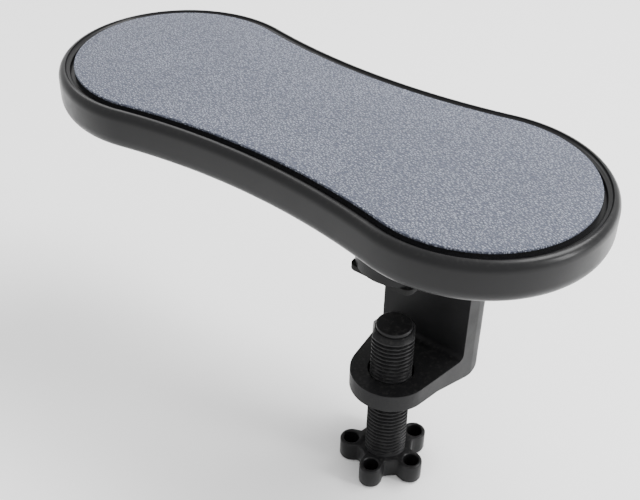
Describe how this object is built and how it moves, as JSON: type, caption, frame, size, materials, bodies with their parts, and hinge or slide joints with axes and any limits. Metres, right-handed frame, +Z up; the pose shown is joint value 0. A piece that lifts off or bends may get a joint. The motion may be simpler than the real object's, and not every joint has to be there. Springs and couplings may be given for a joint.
{
  "type": "chair armrest pad",
  "caption": "Waisted, leather-topped forearm pad in a moulded tray that swivels on a screw clamp for a chair's arm tube.",
  "frame": {"origin": "underside of the upper jaw's rubber pad, where the tube bears, on the axis of the clamp screw", "axes": "+X along the pad and along the clamped tube, +Y from the clamp's mouth to its spine, +Z up"},
  "size_m": [0.25, 0.1048, 0.147],
  "materials": {
    "pebbled_leather": "fine pebble grain, satin",
    "black_foam": "closed cell, matt",
    "tray_plastic": "glossy moulded rim",
    "plate_plastic": "fine spark-eroded texture",
    "clamp_plastic": "glass-filled nylon, fine texture",
    "screw_plastic": "moulded nylon, satin",
    "knob_plastic": "moulded nylon, satin",
    "cap_plastic": "moulded nylon, smooth",
    "jaw_rubber": "matt",
    "nylon": "natural nylon",
    "zinc_steel": "bright zinc plate",
    "spring_steel": "tempered"
  },
  "bodies": {
    "clamp": {"clamp_frame": "clamp_plastic", "jaw_pad": "jaw_rubber", "pivot_bolt": "zinc_steel", "pivot_nut": "zinc_steel", "pivot_washer": "zinc_steel", "wave_washer": "spring_steel", "thrust_washer": "nylon"},
    "pad": {"pad_tray": "tray_plastic", "base_plate": "plate_plastic", "foam_pad": "black_foam", "leather_cover": "pebbled_leather", "cover_screws": "zinc_steel"},
    "cap": {"pressure_cap": "cap_plastic"},
    "screw": {"clamp_screw": "screw_plastic", "star_knob": "knob_plastic", "knob_washer": "zinc_steel", "knob_screw": "zinc_steel"}
  },
  "joints": [
    {"name": "pad_swivel", "type": "hinge", "parent": "clamp", "child": "pad", "pos_m": [0, 0.0165, 0.013], "axis": [0, 0, 1], "continuous": true},
    {"name": "screw_travel", "type": "slide", "parent": "clamp", "child": "cap", "axis": [0, 0, 1], "range_m": [-0.022, 0.026]},
    {"name": "screw_turn", "type": "hinge", "parent": "cap", "child": "screw", "pos_m": [0, 0, -0.06], "axis": [0, 0, 1], "range_deg": [-3950, 4670]}
  ],
  "couplings": [
    {"joint": "screw_travel", "follows": "screw_turn", "m_per_rad": 0.00031831}
  ]
}
